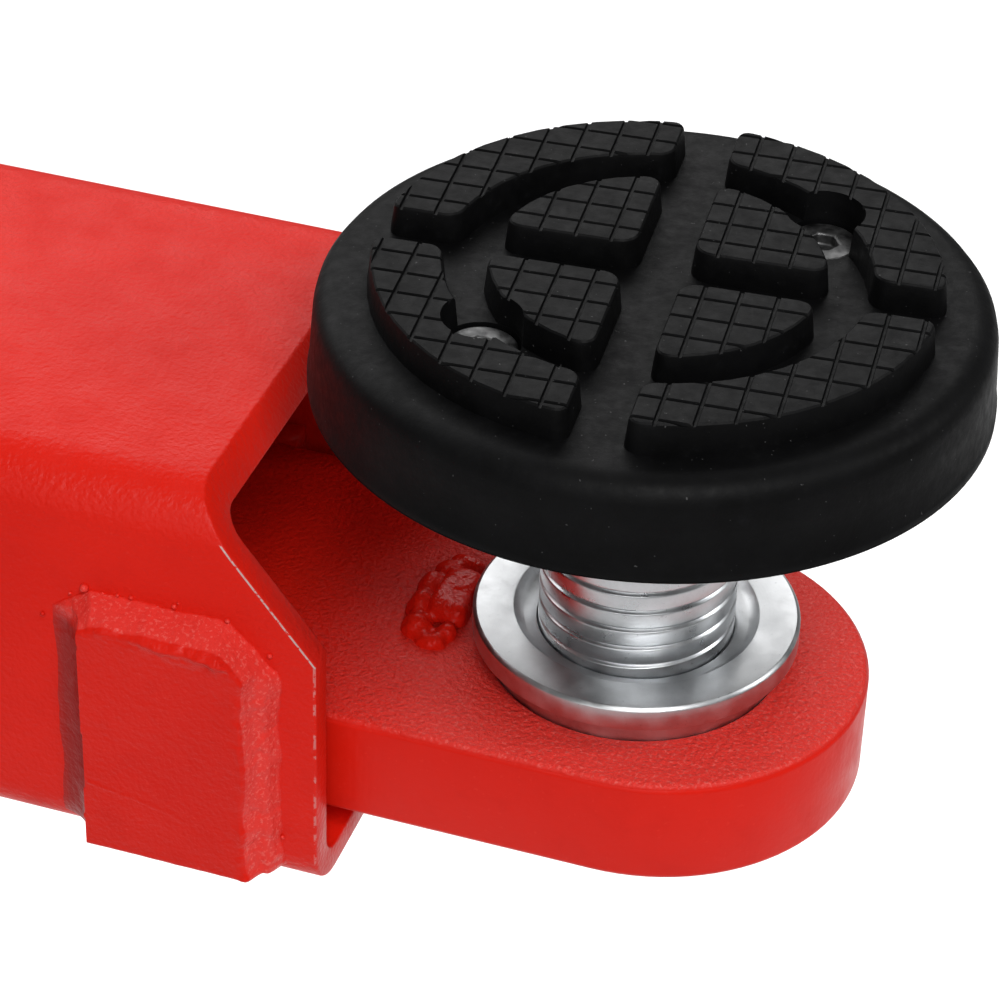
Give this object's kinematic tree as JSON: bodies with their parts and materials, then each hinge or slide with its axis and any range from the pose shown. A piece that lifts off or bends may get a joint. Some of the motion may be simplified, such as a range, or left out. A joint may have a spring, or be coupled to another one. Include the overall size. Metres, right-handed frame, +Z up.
{
  "type": "vehicle lift arm",
  "caption": "Telescopic steel swing arm of a vehicle lift, with a pivot head at one end and a height-adjustable screw pad with a round treaded rubber top at the other.",
  "frame": {"origin": "on the pivot axis, level with the underside of the pivot boss", "axes": "+X runs along the arm from the pivot to the pad, +Z is up along the pivot axis, +Y completes the right-handed set"},
  "size_m": [0.9578, 0.178, 0.1449],
  "materials": {
    "red_paint": "glossy red enamel with a fine orange peel",
    "zinc_plate": "bright zinc plate over turned steel",
    "black_rubber": "moulded, satin",
    "bronze": "machined bronze",
    "black_steel": "black oxide"
  },
  "bodies": {
    "outer_arm": {"outer_arm_tube": "red_paint", "outer_mouth_band": "red_paint", "pivot_boss": "red_paint", "pivot_bush_lower": "bronze", "pivot_bush_upper": "bronze", "pivot_plate_lower": "red_paint", "pivot_plate_upper": "red_paint", "root_plate": "red_paint", "root_rib_near": "red_paint", "root_rib_far": "red_paint", "restraint_gear": "black_steel", "gear_bolts": "zinc_plate", "gear_washers": "zinc_plate", "gear_nuts": "zinc_plate", "grease_nipple": "zinc_plate", "travel_stop_nut": "red_paint", "travel_stop_bolt": "zinc_plate"},
    "inner_arm": {"inner_arm_tube": "red_paint", "stop_block_near": "red_paint", "stop_block_far": "red_paint", "stop_block_weld_near": "red_paint", "stop_block_weld_far": "red_paint", "lug_plate": "red_paint", "lug_weld_near": "red_paint", "lug_weld_far": "red_paint", "lug_packing": "red_paint", "sleeve_stop_tab": "red_paint", "sleeve_stop_tab_weld": "red_paint"},
    "sleeve_ring": {"sleeve_ring": "black_steel"},
    "sleeve": {"screw_sleeve": "zinc_plate"},
    "screw_ring": {"screw_ring": "black_steel"},
    "screw": {"lift_screw": "zinc_plate", "spigot_ring": "black_steel", "thrust_washer": "bronze"},
    "pad": {"pad_hub": "black_steel", "saddle_plate": "black_steel", "rubber_pad": "black_rubber", "pad_screws": "zinc_plate", "pad_nuts": "zinc_plate"}
  },
  "joints": [
    {"name": "arm_extend", "type": "slide", "parent": "outer_arm", "child": "inner_arm", "axis": [1, 0, 0], "range_m": [-0.147, 0.12]},
    {"name": "sleeve_rise", "type": "slide", "parent": "inner_arm", "child": "sleeve_ring", "axis": [0, 0, 1], "range_m": [-0.0043, 0.0115]},
    {"name": "sleeve_spin", "type": "hinge", "parent": "sleeve_ring", "child": "sleeve", "pos_m": [0.8038, 0, 0.05], "axis": [0, 0, 1], "range_deg": [-388, 1036]},
    {"name": "screw_rise", "type": "slide", "parent": "sleeve", "child": "screw_ring", "axis": [0, 0, 1], "range_m": [-0.0365, 0.0095]},
    {"name": "screw_spin", "type": "hinge", "parent": "screw_ring", "child": "screw", "pos_m": [0.8038, 0, 0.08], "axis": [0, 0, 1], "range_deg": [-3286, 856]},
    {"name": "pad_swivel", "type": "hinge", "parent": "screw", "child": "pad", "pos_m": [0.8038, 0, 0.117], "axis": [0, 0, 1], "continuous": true}
  ],
  "couplings": [
    {"joint": "sleeve_spin", "follows": "sleeve_rise", "rad_per_m": 1570.8},
    {"joint": "screw_spin", "follows": "screw_rise", "rad_per_m": 1570.8}
  ]
}
